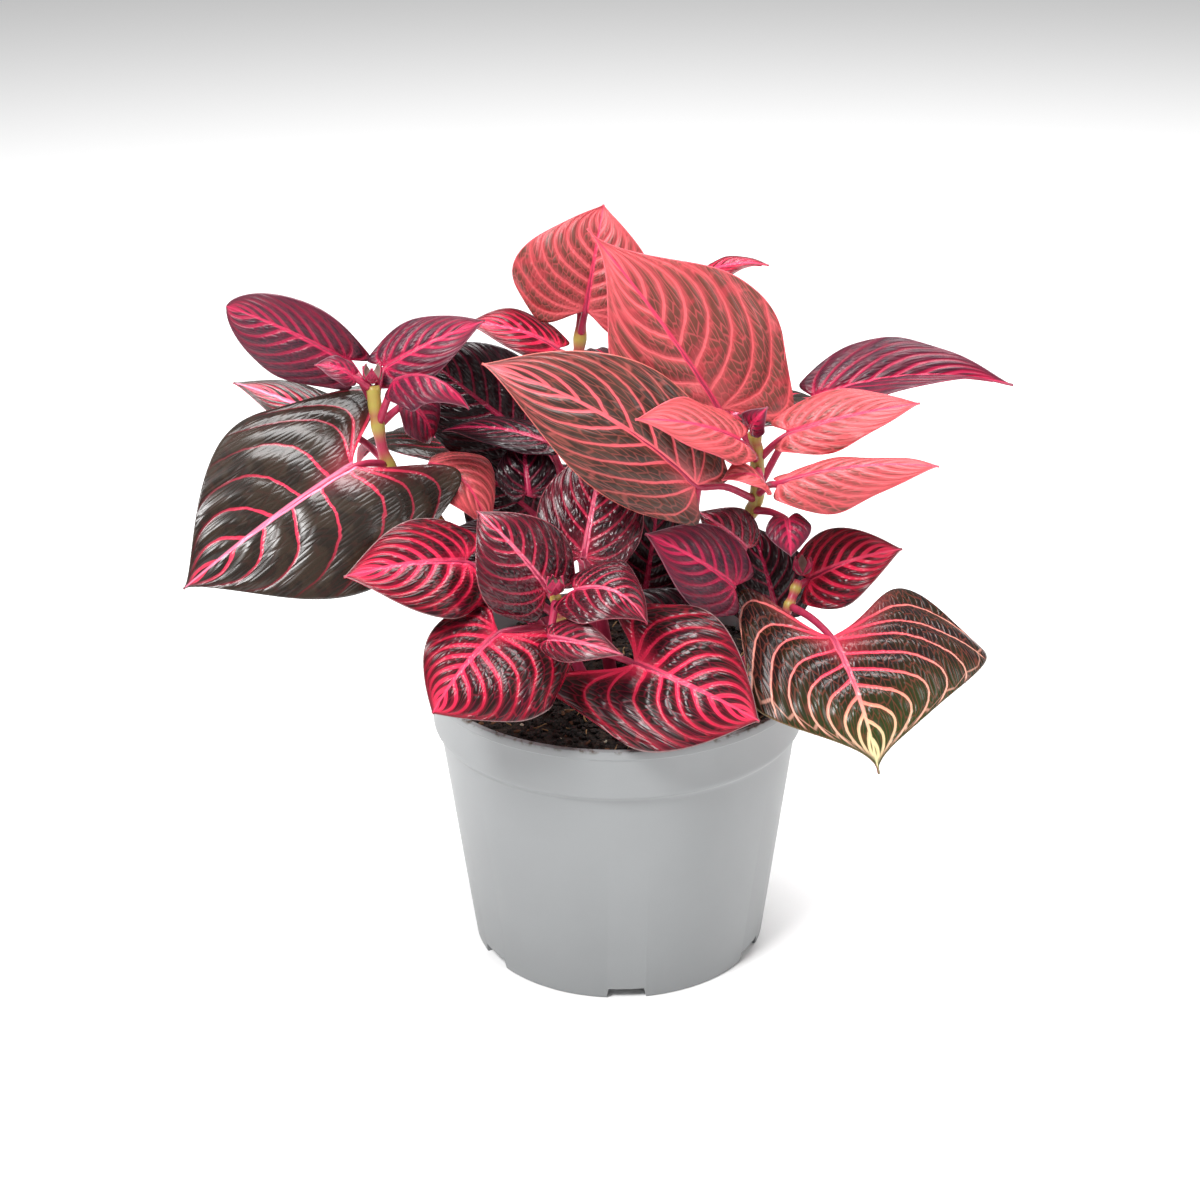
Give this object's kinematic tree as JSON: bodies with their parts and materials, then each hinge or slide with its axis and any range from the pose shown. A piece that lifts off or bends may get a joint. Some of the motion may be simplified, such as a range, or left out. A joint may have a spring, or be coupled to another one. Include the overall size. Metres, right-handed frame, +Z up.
{
  "type": "potted bloodleaf",
  "caption": "Bloodleaf house plant with red-veined leaves in opposite pairs on rooted stems, standing in a round tapered plastic grow pot.",
  "frame": {"origin": "the pot's axis, on the surface that the pot stands on", "axes": "+Z up the pot's axis, +X to the right and -Y towards the viewer as the plant is shown"},
  "size_m": [0.2433, 0.1666, 0.2313],
  "materials": {
    "pot_plastic": "satin",
    "peat": "matte",
    "stem": "satin",
    "leaf_maroon": "gloss",
    "leaf_coral": "satin",
    "leaf_olive": "gloss",
    "leaf_mauve": "satin"
  },
  "bodies": {
    "root": {"pot": "pot_plastic", "soil": "peat", "stem_left": "stem", "stem_right": "stem", "stem_back": "stem", "stem_front": "stem", "stem_middle": "stem", "stem_low_right": "stem", "stem_back_right": "stem", "stem_back_left": "stem", "leaf_left_big": "leaf_olive", "leaf_left_upper": "leaf_mauve", "leaf_left_inner": "leaf_mauve", "leaf_left_folded": "leaf_mauve", "leaf_left_bud_outer": "leaf_mauve", "leaf_left_under": "leaf_olive", "leaf_left_arched": "leaf_coral", "leaf_left_striped": "leaf_maroon", "leaf_left_behind": "leaf_maroon", "leaf_left_shaded": "leaf_olive", "leaf_left_edge_on": "leaf_olive", "leaf_front_upright": "leaf_maroon", "leaf_front_right": "leaf_maroon", "leaf_front_small": "leaf_maroon", "leaf_front_over_rim": "leaf_maroon", "leaf_front_big": "leaf_maroon", "leaf_middle_glossy": "leaf_maroon", "leaf_middle_dark": "leaf_maroon", "leaf_middle_long": "leaf_olive", "leaf_middle_purple": "leaf_mauve", "leaf_middle_low": "leaf_maroon", "leaf_low_shaded": "leaf_maroon", "leaf_middle_maroon": "leaf_maroon", "leaf_deep_left": "leaf_maroon", "leaf_deep_middle": "leaf_maroon", "leaf_deep_right": "leaf_maroon", "leaf_top_big": "leaf_coral", "leaf_top_back": "leaf_coral", "leaf_top_left": "leaf_coral", "leaf_top_far": "leaf_coral", "leaf_right_long": "leaf_mauve", "leaf_right_coral": "leaf_coral", "leaf_right_folded": "leaf_coral", "leaf_right_inward": "leaf_coral", "leaf_right_pointing_left": "leaf_coral", "leaf_right_bud_front": "leaf_mauve", "leaf_low_small": "leaf_maroon", "leaf_low_right": "leaf_maroon", "leaf_low_big": "leaf_olive", "leaf_back_left_high": "leaf_maroon", "leaf_back_left_low": "leaf_maroon", "leaf_back_left_inner": "leaf_maroon", "leaf_back_middle": "leaf_maroon", "leaf_back_right_high": "leaf_maroon", "leaf_back_right_low": "leaf_maroon", "leaf_back_low": "leaf_maroon"}
  },
  "joints": []
}
